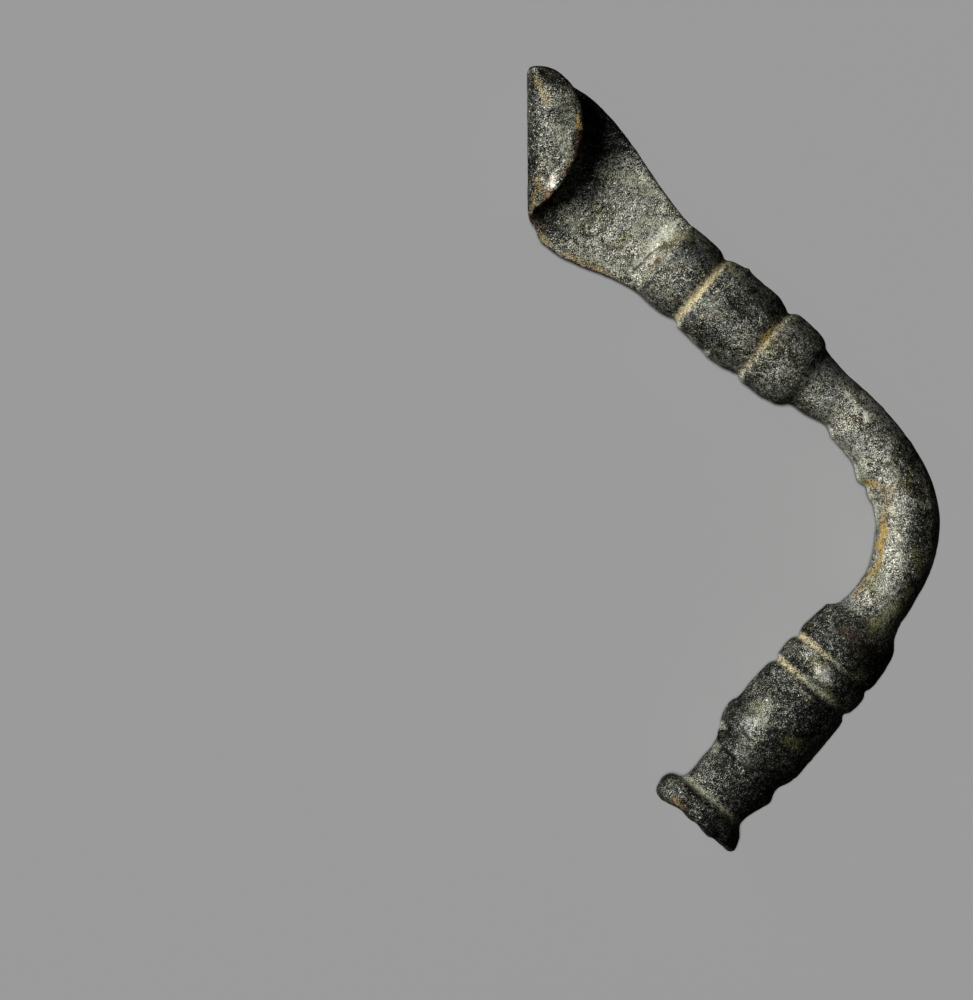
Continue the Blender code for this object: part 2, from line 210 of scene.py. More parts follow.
def arm_line():
    """Places along the axis of both arms and the bow, and the half-widths at each."""
    lower_way, upper_way = direction(LOWER_ARM_ANGLE), direction(UPPER_ARM_ANGLE)
    bow_start = lower_way * LOWER_ARM_LENGTH
    corner = bow_start + lower_way * LOWER_REACH
    bow_end = corner + upper_way * UPPER_REACH
    bow = interpolate_bezier(
        bow_start,
        bow_start + lower_way * LOWER_REACH * LOWER_FULLNESS,
        bow_end - upper_way * UPPER_REACH * UPPER_FULLNESS,
        bow_end,
        BOW_POINTS,
    )
    lower = [lower_way * run for run in np.arange(0, LOWER_ARM_LENGTH - RING_STEP / 2, RING_STEP)]
    upper_runs = np.arange(RING_STEP, UPPER_ARM_LENGTH + RING_STEP / 2, RING_STEP)
    places = lower + bow + [bow_end + upper_way * run for run in upper_runs]
    line = np.array([tuple(place) for place in places])
    steps = np.linalg.norm(np.diff(line, axis=0), axis=1)
    runs = np.concatenate(([0.0], np.cumsum(steps)))
    bow_length = runs[len(lower) + len(bow) - 1] - runs[len(lower)]
    upper_start = LOWER_ARM_LENGTH + bow_length
    table = list(LOWER_ARM_SIDES)
    table += [(LOWER_ARM_LENGTH + run, inner, outer) for run, inner, outer in BOW_SIDES]
    table += [(upper_start + run, inner, outer) for run, inner, outer in UPPER_ARM_SIDES]
    table = np.array(table)
    inner = np.interp(runs, table[:, 0], table[:, 1])
    outer = np.interp(runs, table[:, 0], table[:, 2])
    return line, runs, inner, outer, upper_start


def swept_arm(line, inner, outer):
    """A closed tube whose rings stand square to the line and lie to one side by as much as the
    two half-widths differ."""
    ways = np.gradient(line, axis=0)
    ways /= np.linalg.norm(ways, axis=1)[:, None]
    outward = np.stack((ways[:, 1], -ways[:, 0], np.zeros(len(line))), axis=1)
    middles = line + outward * ((outer - inner) / 2)[:, None]
    radii = (inner + outer) / 2
    angles = np.arange(RING_POINTS) / RING_POINTS * 2 * math.pi
    rings = (middles[:, None]
             + radii[:, None, None] * (np.cos(angles)[None, :, None] * outward[:, None]
                                       + np.sin(angles)[None, :, None] * np.array(UP)))
    points = rings.reshape(-1, 3)
    faces = []
    for ring in range(len(line) - 1):
        first = ring * RING_POINTS
        for step in range(RING_POINTS):
            after = (step + 1) % RING_POINTS
            faces.append((first + step, first + after, first + RING_POINTS + after,
                          first + RING_POINTS + step))
    faces.append(tuple(range(RING_POINTS - 1, -1, -1)))
    last = (len(line) - 1) * RING_POINTS
    faces.append(tuple(range(last, last + RING_POINTS)))
    return points, faces


# The plate and its catch

class Plate:
    """The middle surface of the catch plate, in the upper arm's own directions."""

    def __init__(self, start):
        self.start = start
        self.along = direction(UPPER_ARM_ANGLE)
        self.across = direction(UPPER_ARM_ANGLE - 90)
        slant = math.radians(FOLD_SLANT)
        self.crease_way = self.along * math.cos(slant) + self.across * math.sin(slant)
        self.beyond = self.along * math.sin(slant) - self.across * math.cos(slant)
        self.outer_edge = self.edge(1, OUTER_WIDTH, OUTER_FLARE, OUTER_BULGE, FOLD_RADIUS_TOP)
        self.inner_edge = self.edge(-1, INNER_WIDTH, INNER_FLARE, INNER_BULGE,
                                    FOLD_RADIUS_BOTTOM)

    def edge(self, side, width, flare, bulge, fold_radius):
        """A side of the fan from inside the collar to where the fold begins."""
        slant = math.radians(FOLD_SLANT)
        set_back = (fold_radius + PLATE_THICKNESS / 2) / math.sin(slant)
        reach = PLATE_REACH + side * width / math.tan(slant) - set_back
        return interpolate_bezier(
            self.place(-PLATE_OVERLAP, side * PLATE_ROOT),
            self.place(reach / 3, side * (PLATE_ROOT + flare)),
            self.place(reach * 2 / 3, side * (width + bulge)),
            self.place(reach, side * width),
            PLATE_ROWS,
        )

    def place(self, along, across):
        return self.start + self.along * along + self.across * across - UP * PLATE_SINK

    def column(self, share):
        """(place, thickness) pairs from the collar over the plate and round the fold."""
        roundness = math.sqrt(max(0.0, 1 - (2 * share - 1) ** 2))
        root = max(PLATE_ROOT_THICKNESS * roundness, PLATE_THICKNESS)
        crease = self.outer_edge[-1].lerp(self.inner_edge[-1], share)
        pairs = []
        for outer, inner in zip(self.outer_edge, self.inner_edge):
            place = outer.lerp(inner, share)
            along = (place - self.start).dot(self.along)
            fill = min(max(1 - along / SCOOP_LENGTH, 0.0), 1.0) ** 2
            to_crease = (crease - place).dot(self.beyond)
            curl = max(0.0, 1 - to_crease / CURL_LENGTH) ** 2
            lifted = place + UP * CURL_RISE * (1 - share) * curl
            pairs.append((lifted, mix(PLATE_THICKNESS, root, fill)))
        return pairs + self.folded(pairs[-1][0], share)

    def folded(self, crease, share):
        """The fold and its flap beyond a point of the crease."""
        reach = mix(FOLD_RADIUS_TOP, FOLD_RADIUS_BOTTOM, share)
        height = mix(FOLD_HEIGHT_TOP, FOLD_HEIGHT_BOTTOM, share)
        leaf = math.sin(math.pi * share ** FLAP_SKEW)
        width = mix(FLAP_CORNER_WIDTH * (1 - share), FLAP_WIDTH, leaf)
        lip = reach + PLATE_THICKNESS / 2 - width
        turn = math.pi - math.asin(min(max(lip / reach, 0.0), 1.0))
        bent, flat = reach * turn, max(0.0, -lip)
        slope = 2 * CURL_RISE * (1 - share) / CURL_LENGTH
        rise = (TOP_CORNER_RISE * (1 - share) ** TOP_CORNER_FADING
                + BOTTOM_CORNER_RISE * share ** BOTTOM_CORNER_FADING)
        pairs = []
        for row in range(1, FOLD_ROWS + 1):
            run = (bent + flat) * row / FOLD_ROWS
            angle = turn * min(run / bent, 1.0)
            over = max(0.0, run - bent)
            out = self.beyond * (reach * math.sin(angle) - over)
            fall = over * math.tan(math.radians(FLAP_DROOP))
            lead = slope * reach * math.sin(angle) * math.cos(angle / 2) ** 2
            up = UP * (height * (1 - math.cos(angle)) + lead - fall)
            along = self.crease_way * rise * (1 - math.cos(math.pi * row / FOLD_ROWS)) / 2
            pairs.append((crease + out + up + along, PLATE_THICKNESS))
        return pairs


def folded_sheet(plate):
    """The plate and catch as a closed sheet with a thickness of its own at each point."""
    last_column = PLATE_COLUMNS - 1
    shares = [(step / last_column) ** COLUMN_CROWDING for step in range(PLATE_COLUMNS)]
    columns = [plate.column(share) for share in shares]
    rows = len(columns[0])
    faces = []
    for column in range(last_column):
        for row in range(rows - 1):
            first = column * rows + row
            faces.append((first, first + 1, first + rows + 1, first + rows))
    mesh = bpy.data.meshes.new("plate_sheet")
    mesh.from_pydata([place for column in columns for place, _ in column], [], faces)
    sheet = bpy.data.objects.new("plate_sheet", mesh)
    bpy.context.scene.collection.objects.link(sheet)
    thickest = 2 * PLATE_ROOT
    group = sheet.vertex_groups.new(name="thickness")
    for number, column in enumerate(columns):
        to_side = min(number, last_column - number)
        for row, (_, thickness) in enumerate(column):
            to_rim = min(to_side, rows - 1 - row)
            roundness = math.sqrt(1 - (1 - min(to_rim / RIM_ROWS, 1)) ** 2)
            rounding = mix(RIM_THINNING, 1, roundness)
            near_lip = max(0.0, 1 - (rows - 1 - row) / LIP_ROWS)
            share = shares[number]
            swelling = smooth(*LIP_SWELLS, share) * (1 - smooth(*LIP_THINS, share))
            swelling = 1 + LIP_SWELLING * swelling * near_lip
            weight = thickness * rounding * swelling / thickest
            group.add([number * rows + row], weight, "REPLACE")
    solidify = sheet.modifiers.new("thickness", "SOLIDIFY")
    solidify.thickness = thickest
    solidify.offset = 0
    solidify.vertex_group = group.name
    closed = evaluated_mesh(sheet)
    points = np.array([tuple(vert.co) for vert in closed.vertices])
    faces = [tuple(face.vertices) for face in closed.polygons]
    bpy.data.objects.remove(sheet, do_unlink=True)
    return points, faces


def evaluated_mesh(source):
    """A copy of an object's mesh as its modifiers make it."""
    graph = bpy.context.evaluated_depsgraph_get()
    return bpy.data.meshes.new_from_object(source.evaluated_get(graph))


# One casting

def lying_down():
    """The turn and shift that lay the brooch, built level from its broken end, as it rests."""
    broken_end = Vector(frame["record"]["mounts"][0]["pos_m"]) / MM
    lean = Vector((*REST_LEAN, math.sqrt(1 - REST_LEAN[0] ** 2 - REST_LEAN[1] ** 2)))
    turn = UP.rotation_difference(lean).to_matrix().to_4x4()
    return Matrix.Translation(broken_end) @ turn


def cast_in_one(shapes):
    """One even mesh, in mm, over shapes that run into each other."""
    points, faces = [], []
    for shape_points, shape_faces in shapes:
        start = sum(len(part) for part in points)
        points.append(shape_points)
        faces += [tuple(start + corner for corner in face) for face in shape_faces]
    mesh = bpy.data.meshes.new("casting")
    mesh.from_pydata(np.concatenate(points), [], faces)
    casting = bpy.data.objects.new("casting", mesh)
    bpy.context.scene.collection.objects.link(casting)
    remesh = casting.modifiers.new("even_skin", "REMESH")
    remesh.mode = "VOXEL"
    remesh.voxel_size = VOXEL
    smoothing = casting.modifiers.new("soft_edges", "SMOOTH")
    smoothing.factor = SMOOTHING
    smoothing.iterations = SMOOTHING_TURNS
    skin = evaluated_mesh(casting)
    bpy.data.objects.remove(casting, do_unlink=True)
    return skin


line, runs, inner, outer, upper_start = arm_line()
plate = Plate(Vector(line[-1]))
skin = cast_in_one([swept_arm(line, inner, outer), folded_sheet(plate)])

count = len(skin.vertices)
level = np.empty(count * 3)
skin.vertices.foreach_get("co", level)
level = level.reshape(-1, 3)
normals = np.empty(count * 3)
skin.vertices.foreach_get("normal", normals)
normals = normals.reshape(-1, 3)


# How fast the octaves of the noise weaken, and how much finer each is than the one before
NOISE_FADING = 0.9
NOISE_STEP = 2.0


def fractal(scale, offset, octaves=2):
    """Fractal noise at each point of the skin, with this many cells to the millimetre."""
    aside = Vector((offset, offset, offset))
    return np.array([noise.fractal(Vector(point) * scale + aside, NOISE_FADING, NOISE_STEP, octaves)
                     for point in level])


def strokes(pixels, marks):
    """How strongly soft strokes, each (start, end, half-width, strength), mark each point."""
    strength = np.zeros(len(pixels))
    for start, end, half_width, weight in marks:
        start, way = np.array(start, float), np.subtract(end, start).astype(float)
        length = max(way @ way, 1e-6)
        share = np.clip((pixels - start) @ way / length, 0, 1)
        gap = np.linalg.norm(pixels - start - share[:, None] * way, axis=1)
        strength = np.maximum(strength, weight * np.exp(-(gap / half_width) ** 2))
    return strength


# How far to each side of an arm's axis its grooves reach, and where the soil's amounts are given
GROOVE_REACH = 3.5
SOIL_PLACES = (-2.4, 0, 2.4)


def groove_soil(kind, front):
    """How thick one kind of soil lies in the grooves."""
    strength = np.zeros(count)
    for runs_here, across, distance, amounts in GROOVES:
        if kind not in amounts:
            continue
        in_groove = np.exp(-((runs_here - distance) / SOIL_HALF_WIDTH) ** 2)
        in_groove *= abs(across) < GROOVE_REACH
        inner_side, middle, outer_side, below = amounts[kind]
        above = np.interp(across, SOIL_PLACES, (inner_side, middle, outer_side))
        strength = np.maximum(strength, in_groove * mix(below, above, front))
    return strength


# Points farther than this from the lower arm's axis are not on that arm, and are put far away
ARM_REACH = 4.5
FAR_AWAY = 99.0

lower_way, upper_way = direction(LOWER_ARM_ANGLE), direction(UPPER_ARM_ANGLE)
upper_root = np.array(plate.start - upper_way * UPPER_ARM_LENGTH)
lower_run = level @ np.array(lower_way)
lower_across = level @ np.array(direction(LOWER_ARM_ANGLE - 90))
upper_run = (level - upper_root) @ np.array(upper_way)
upper_across = (level - upper_root) @ np.array(direction(UPPER_ARM_ANGLE - 90))
on_lower_arm = (lower_run < LOWER_ARM_LENGTH) & (abs(lower_across) < ARM_REACH)
lower_across = np.where(on_lower_arm, lower_across, FAR_AWAY)

laid = lying_down()
turn = np.array(laid.to_3x3())
there = level @ turn.T + np.array(laid.translation)
pixels = np.stack((PHOTO_ORIGIN[0] + there[:, 0] * PIXELS_PER_MM,
                   PHOTO_ORIGIN[1] - there[:, 1] * PIXELS_PER_MM), axis=1)
# Crust spreads unevenly, so its marks are pushed about by this many pixels
SPREAD = 4.0
# The noises here and below are given by their cells to the millimetre and their place in the noise
SPREAD_ACROSS, SPREAD_UP = (1.3, 11), (1.3, -17)
uneven = pixels + SPREAD * np.stack((fractal(*SPREAD_ACROSS), fractal(*SPREAD_UP)), axis=1)
# How far up a face looks where the front's marks begin, and where they are whole
FRONT_BEGINS, FRONT_WHOLE = -0.15, 0.3
front = smooth(FRONT_BEGINS, FRONT_WHOLE, normals[:, 2])
behind = 1 - front

# Soil in each groove: the kinds, and how much of each lies on the front at the inner side, in the
# middle and at the outer side, and on the back
SOIL_HALF_WIDTH = 0.3
GROOVES = [
    (upper_run, upper_across, UPPER_GROOVES[1],
     {"sand": (1.3, 1.4, 0.8, 0.45), "ochre": (0.0, 0.1, 0.7, 0.2), "lime_and_painted_highlight": (0, 0, 0.7, 0.2)}),
    (upper_run, upper_across, UPPER_GROOVES[0],
     {"sand": (0.4, 0.8, 0.4, 0.4), "ochre": (0.1, 0.4, 0.2, 0.2), "lime_and_painted_highlight": (0.2, 0.2, 0.9, 0.2)}),
    (lower_run, lower_across, LOWER_GROOVES[1],
     {"sand": (0.9, 0.15, 0.1, 0.5), "ochre": (0.1, 0.0, 0.1, 0.1), "lime_and_painted_highlight": (0.5, 0.6, 0, 0.2)}),
    (lower_run, lower_across, LOWER_GROOVES[0],
     {"sand": (0.7, 0.2, 0.0, 0.5), "ochre": (0.2, 0.1, 0.0, 0.1), "lime_and_painted_highlight": (0.5, 1.0, 0.5, 0.3)}),
    (lower_run, lower_across, FLANGE_GROOVE,
     {"sand": (0.2, 0.3, 0.5, 0.3), "lime_and_painted_highlight": (1.0, 0.9, 0.6, 0.3)}),
]

# The way that the key-lit sides of the bow and its arms face, in degrees from +X. The pale lime and
# chalk painted there are partly crust and partly a painted highlight along those edges
LIT_SIDE_WAY = 200.0

# Marks on the front, by pixel of the photograph: start, end, half-width and strength
# Lime, mostly pale crust. The strokes on the bow's bend from (893, 470) to (897, 555) and at (879,
# 578), and on the long barrel at (757, 712), are painted highlights
LIME_AND_PAINTED_HIGHLIGHT_MARKS = [
    ((630, 180), (652, 188), 9, 0.8), ((612, 160), (650, 158), 12, 0.35),
    ((640, 176), (648, 182), 4, 1.1), ((622, 172), (634, 176), 4, 0.7),
    ((600, 172), (625, 182), 9, 0.4), ((632, 232), (652, 220), 8, 0.8),
    ((664, 238), (679, 220), 4, 1.1), ((655, 244), (672, 220), 2, 0.9),
    ((645, 252), (663, 228), 2, 0.8), ((650, 251), (668, 226), 2, 1.0),
    ((641, 254), (652, 238), 2, 0.8), ((637, 264), (652, 249), 4, 1.0),
    ((606, 266), (634, 268), 6, 0.8), ((590, 258), (612, 266), 6, 0.6),
    ((575, 250), (600, 262), 6, 0.6), ((556, 240), (575, 246), 5, 0.4),
    ((558, 105), (572, 120), 9, 0.5), ((556, 128), (566, 158), 9, 0.6),
    ((545, 160), (552, 172), 7, 0.4), ((844, 392), (848, 397), 4, 1.2),
    ((852, 402), (856, 409), 4, 1.2), ((863, 416), (866, 420), 4, 1.5),
    ((833, 443), (834, 444), 2, 0.9), ((858, 455), (862, 462), 3, 0.7),
    ((925, 500), (929, 507), 2.5, 0.9),
    ((866, 462), (864, 480), 4, 0.7), ((882, 622), (890, 610), 9, 0.45),
    ((757, 712), (762, 722), 8, 0.5), ((744, 740), (756, 736), 6, 0.5),
    ((712, 748), (720, 744), 3, 0.9), ((806, 622), (812, 610), 4, 0.6),
    ((748, 335), (742, 350), 7, 0.4), ((893, 470), (897, 555), 6, 0.35),
    ((879, 578), (884, 590), 7, 0.45), ((812, 384), (818, 392), 5, 0.4),
]
OCHRE_MARKS = [
    ((872, 480), (886, 492), 4, 0.6), ((886, 490), (884, 517), 6, 0.5),
    ((884, 517), (881, 550), 5, 0.7), ((881, 550), (874, 568), 4, 0.6),
    ((874, 568), (853, 596), 3.5, 0.55), ((577, 116), (581, 130), 3, 0.6),
    ((536, 84), (546, 103), 6, 0.5), ((541, 180), (536, 196), 3.5, 0.55),
    ((534, 196), (532, 214), 3, 0.55), ((540, 238), (552, 248), 2.5, 0.7),
    ((563, 255), (604, 271), 2.5, 0.75), ((605, 272), (622, 280), 2, 0.7),
    ((910, 472), (908, 491), 4, 0.3),
    ((864, 480), (872, 479), 3, 0.6), ((529, 148), (531, 150), 2.5, 0.4),
    ((700, 262), (668, 272), 7, 0.2), ((803, 695), (808, 698), 5, 0.3),
    ((672, 797), (681, 805), 3.5, 0.6),
    ((728, 266), (732, 272), 3, 0.5), ((778, 330), (790, 345), 6, 0.3),
]
# Chalk, mostly pale crust. The strokes on the long barrel from (750, 716) to (762, 736) are painted
# highlights
CHALK_AND_PAINTED_HIGHLIGHT_MARKS = [
    ((843, 390), (848, 398), 3.2, 0.8), ((852, 402), (856, 409), 3.2, 0.8),
    ((863, 415), (866, 420), 3.6, 0.95), ((833, 443), (834, 444), 2, 0.7),
    ((926, 499), (929, 507), 2.4, 0.6), ((868, 470), (863, 460), 2.4, 0.6),
    ((663, 240), (680, 221), 2.2, 0.45), ((650, 250), (668, 226), 1.4, 0.4),
    ((640, 262), (652, 249), 2.4, 0.6), ((640, 176), (650, 184), 4, 0.45),
    ((632, 232), (648, 222), 5, 0.4), ((608, 268), (630, 270), 4, 0.4),
    ((803, 645), (815, 654), 2, 0.5), ((800, 690), (812, 700), 2.5, 0.4),
    ((752, 728), (762, 736), 5, 0.35), ((750, 716), (757, 724), 5, 0.4),
    ((557, 130), (564, 158), 6, 0.3), ((727, 284), (722, 296), 4, 0.3),
]
GOLD_MARKS = [
    ((884, 524), (881, 540), 3.5, 0.7), ((881, 540), (879, 560), 3, 0.9),
    ((879, 560), (870, 575), 2.5, 0.7), ((866, 478), (872, 484), 3.5, 0.8),
    ((577, 118), (578, 128), 2.5, 0.9), ((756, 343), (773, 324), 2, 0.8),
    ((910, 472), (909, 488), 2, 0.5), ((536, 182), (540, 192), 2.5, 0.45),
]
OLIVE_MARKS = [
    ((678, 235), (688, 238), 6, 0.7), ((872, 626), (898, 610), 9, 0.9),
    ((914, 550), (920, 575), 7, 0.6), ((903, 585), (910, 600), 6, 0.7),
    ((728, 268), (738, 274), 5, 0.5), ((785, 738), (795, 742), 9, 0.5),
    ((660, 285), (668, 296), 9, 0.35), ((850, 680), (860, 672), 7, 0.4),
    ((528, 222), (545, 240), 3, 0.6), ((560, 252), (600, 266), 3, 0.4),
    ((560, 90), (575, 108), 5, 0.3), ((820, 690), (832, 702), 5, 0.6),
]
RUST_MARKS = [
    ((584, 124), (577, 150), 4.5, 0.9), ((577, 150), (562, 176), 4, 1.0),
    ((550, 194), (534, 216), 5, 1.2), ((543, 176), (550, 182), 3, 0.7),
    ((536, 66), (560, 80), 5, 0.3), ((566, 88), (583, 112), 4, 0.5),
    ((668, 270), (682, 264), 8, 0.3), ((838, 630), (852, 632), 8, 0.5),
    ((845, 640), (868, 655), 10, 0.45), ((674, 800), (680, 806), 5, 0.8),
    ((780, 345), (792, 338), 8, 0.3), ((780, 700), (800, 702), 9, 0.25),
    ((660, 805), (700, 840), 4, 0.5), ((723, 760), (728, 752), 5, 0.3),
]
BACK_LIME_MARKS = [
    ((650, 196), (664, 226), 11, 0.7), ((870, 606), (888, 622), 10, 0.6),
    ((905, 470), (915, 560), 9, 0.3), ((700, 280), (705, 300), 8, 0.3),
]
BACK_OCHRE_MARKS = [
    ((548, 192), (554, 200), 5, 0.7), ((814, 644), (830, 652), 6, 0.6),
    ((560, 245), (600, 270), 4, 0.4), ((670, 800), (700, 830), 6, 0.4),
]
BACK_RUST_MARKS = [
    ((700, 235), (712, 262), 10, 0.6), ((742, 290), (760, 310), 14, 0.5),
    ((780, 340), (795, 360), 12, 0.4), ((850, 625), (870, 650), 12, 0.6),
    ((760, 700), (800, 740), 22, 0.45), ((720, 775), (735, 800), 14, 0.5),
    ((560, 100), (640, 200), 30, 0.25),
]
# Where the metal is made darker than the rest of its member. Some of these are its own duller tone;
# the rest are painted shade: the dark beside the flap's cast shadow on the plate, and the shade
# sides of the long barrel, the short barrel and the bow's bend
PAINTED_SHADE_AND_DULL_MARKS = [
    ((690, 250), (700, 262), 10, 0.2), ((728, 300), (742, 316), 12, 0.25),
    ((600, 100), (626, 132), 24, 0.45), ((590, 100), (606, 150), 16, 0.5),
    ((606, 160), (588, 196), 15, 0.25),
    ((532, 80), (531, 205), 7, 0.35), ((536, 66), (552, 78), 9, 0.4),
    ((775, 750), (835, 685), 20, 0.3), ((790, 660), (805, 672), 9, 0.35),
    ((772, 680), (786, 694), 11, 0.22),
    ((722, 765), (738, 790), 12, 0.18),
    ((735, 790), (770, 770), 18, 0.2), ((700, 330), (720, 345), 12, 0.2),
    ((548, 215), (560, 235), 10, 0.3), ((583, 128), (564, 168), 4, 0.3),
    ((758, 294), (774, 308), 11, 0.2),
    ((904, 446), (919, 520), 11, 0.26), ((919, 530), (910, 590), 11, 0.24),
    ((738, 700), (725, 735), 9, 0.3), ((686, 815), (716, 838), 12, 0.12),
    ((765, 672), (795, 640), 9, 0.2), ((540, 62), (570, 84), 9, 0.35),
]
# Where the metal is made brighter. Those on the plate beside the collar are its own brighter tone;
# the rest are mostly painted highlights: the white glint on the flap's lip and the highlights on the
# long barrel, the ring and the bow's bend
PAINTED_HIGHLIGHT_AND_BRIGHT_MARKS = [
    ((640, 250), (600, 225), 20, 0.16), ((600, 255), (640, 268), 12, 0.1),
    ((600, 200), (655, 215), 12, 0.08), ((668, 228), (650, 252), 8, 0.32),
    ((555, 175), (549, 186), 2.6, 0.6),
    ((748, 724), (762, 706), 7, 0.2),
    ((888, 500), (896, 560), 10, 0.1),
    ((905, 500), (930, 505), 5, 0.3),
    ((816, 668), (824, 678), 6, 0.5),
]
# High spots rubbed smooth
RUBBED_MARKS = [
    ((748, 714), (770, 694), 9, 0.6), ((838, 628), (856, 640), 9, 0.6),
    ((820, 668), (828, 676), 7, 0.7), ((894, 480), (896, 560), 9, 0.5),
    ((880, 575), (888, 600), 9, 0.5), ((552, 178), (546, 194), 5, 0.7),
    ((700, 300), (716, 312), 11, 0.6),
    ((560, 110), (566, 160), 9, 0.4), ((596, 196), (640, 212), 14, 0.4),
    ((675, 217), (645, 250), 8, 0.5), ((730, 745), (748, 752), 7, 0.5),
]
# Cracks: start, end and half-width in pixels, and depth in mm
CRACKS = [
    ((681, 226), (671, 238), 1.6, 0.02), ((664, 245), (652, 253), 1.4, 0.06),
    ((652, 253), (646, 257), 1.4, 0.09), ((646, 257), (641, 263), 1.4, 0.05),
    ((641, 263), (634, 270), 1.6, 0.08),
    ((721, 747), (732, 757), 1.8, 0.14),
    ((732, 757), (752, 768), 1.8, 0.05), ((740, 729), (747, 739), 1.6, 0.07),
    ((541, 74), (546, 78), 2.0, 0.12),
]
# Where the fine scratches lie: start, end, half-width and strength
SCRATCHED = [((646, 252), (676, 216), 12, 1.0), ((640, 225), (655, 215), 8, 0.5)]
# Lumps of crust: start, end and half-width in pixels, and height in mm
LUMPS = [
    ((862, 466), (862, 478), 6, 0.25), ((748, 270), (749, 269), 2.5, 0.08),
    ((658, 793), (669, 805), 5, 0.4), ((686, 818), (690, 821), 4, 0.1),
    ((706, 832), (709, 834), 4, 0.12), ((664, 782), (668, 778), 4, 0.1),
    ((769, 801), (770, 803), 6, 0.1), ((722, 732), (722, 742), 5, 0.15),
    ((855, 454), (858, 458), 4, 0.1), ((870, 492), (872, 497), 4, 0.12),
    ((676, 246), (660, 262), 7, 0.035), ((660, 262), (644, 274), 7, 0.035),
    ((830, 408), (850, 440), 9, 0.05),
]

# How much of the crust's unevenness the chalk and the cracks follow
CHALK_SPREAD = 0.4
CRACK_SPREAD = 0.5

masks = {
    "lime_and_painted_highlight": strokes(uneven, LIME_AND_PAINTED_HIGHLIGHT_MARKS) * front + strokes(uneven, BACK_LIME_MARKS) * behind,
    "ochre": strokes(uneven, OCHRE_MARKS) * front + strokes(uneven, BACK_OCHRE_MARKS) * behind,
    "rust": strokes(uneven, RUST_MARKS) * front + strokes(uneven, BACK_RUST_MARKS) * behind,
    "olive": strokes(uneven, OLIVE_MARKS) * front,
    "gold": strokes(uneven, GOLD_MARKS) * front,
    "chalk_and_painted_highlight": strokes(mix(pixels, uneven, CHALK_SPREAD), CHALK_AND_PAINTED_HIGHLIGHT_MARKS) * front,
    "sand": np.zeros(count),
}
for kind in ("lime_and_painted_highlight", "ochre", "sand"):
    masks[kind] = np.maximum(masks[kind], groove_soil(kind, front))
axis_tree = KDTree(len(line))
for number, place in enumerate(line):
    axis_tree.insert(place, number)
axis_tree.balance()
axis_run = np.array([runs[axis_tree.find(point)[1]] for point in level])

# The key-lit side, painted pale as partly crust and partly painted highlight: where it begins along
# the lower arm and ends along the upper one, in mm, how nearly a face looks that way where it begins
# and where it is whole, and how much lime and chalk lie there
LIT_SIDE_BEGINS = (0.8, 1.4)
LIT_SIDE_ENDS = (10.5, 11.5)
LIT_SIDE_FACING = (0.82, 0.99)
LIT_SIDE_LIME = 0.85
LIT_SIDE_CHALK = 0.6
last_lit_side, first_past_lit_side = (upper_start + run for run in LIT_SIDE_ENDS)
on_arms = smooth(*LIT_SIDE_BEGINS, axis_run) * (1 - smooth(last_lit_side, first_past_lit_side, axis_run))
lit_side_paleness = smooth(*LIT_SIDE_FACING, normals @ np.array(direction(LIT_SIDE_WAY)))
masks["lime_and_painted_highlight"] = np.maximum(masks["lime_and_painted_highlight"], LIT_SIDE_LIME * lit_side_paleness * on_arms)
masks["chalk_and_painted_highlight"] = np.maximum(masks["chalk_and_painted_highlight"], LIT_SIDE_CHALK * lit_side_paleness * on_arms)

# Fine scratches beside the collar: cells of their noise to the millimetre along and across the
# arm, the level at which one is whole, and how much of the lime and the chalk it takes off
SCRATCHES_ALONG = 2.8
SCRATCHES_ACROSS = 0.4
SCRATCH_WHOLE = 0.4
SCRATCHED_OFF = 0.9
scratches = np.array([noise.noise(Vector((run * SCRATCHES_ALONG, across * SCRATCHES_ACROSS, 0)))
                      for run, across in zip(upper_run, upper_across)])
scratched = strokes(pixels, SCRATCHED) * front * smooth(0.0, SCRATCH_WHOLE, scratches)
masks["lime_and_painted_highlight"] *= 1 - SCRATCHED_OFF * scratched
masks["chalk_and_painted_highlight"] *= 1 - SCRATCHED_OFF * scratched

# A crack is dark all through from this depth in mm
DARK_DEPTH = 0.09
crack_depth = strokes(mix(pixels, uneven, CRACK_SPREAD), CRACKS) * front
masks["crevice"] = np.clip(crack_depth / DARK_DEPTH, 0, 1)

# How bright the worn crystals are, by distance along the axis of the arms and the bow
WORN = [
    (0.0, 0.28), (1.8, 0.3), (5.6, 0.28), (6.6, 0.4), (11.0, 0.36), (12.2, 0.48), (13.6, 0.48),
    (14.3, 0.18), (16.4, 0.16), (17.6, 0.5), (21.0, 0.56), (28.0, 0.55), (33.5, 0.62), (36.5, 0.5),
    (38.0, 0.46), (42.0, 0.46), (47.0, 0.44), (49.6, 0.5), (50.5, 0.52),
]
# How far the wear is below the table all over, and how unevenly it lies
WORN_STEP = 0.04
WORN_SPREAD = 0.05
WORN_PATCHES = (0.5, 5)
masks["wear_and_painted_light"] = np.interp(axis_run, *zip(*WORN)) + WORN_SPREAD * fractal(*WORN_PATCHES) - WORN_STEP
# Painted highlights and painted shade on the front, together with the metal's own brighter and
# duller places
masks["wear_and_painted_light"] += front * (strokes(uneven, PAINTED_HIGHLIGHT_AND_BRIGHT_MARKS) - strokes(uneven, PAINTED_SHADE_AND_DULL_MARKS))

# Faces that point down are made darker, and their grooves hold less soil
UNDERSIDE = (-0.5, -0.05)
UNDERSIDE_DARKENING = 0.09
UNDERSIDE_CLEANNESS = 0.6
underside = 1 - smooth(*UNDERSIDE, normals[:, 2])
masks["wear_and_painted_light"] -= UNDERSIDE_DARKENING * underside
masks["sand"] *= 1 - UNDERSIDE_CLEANNESS * underside

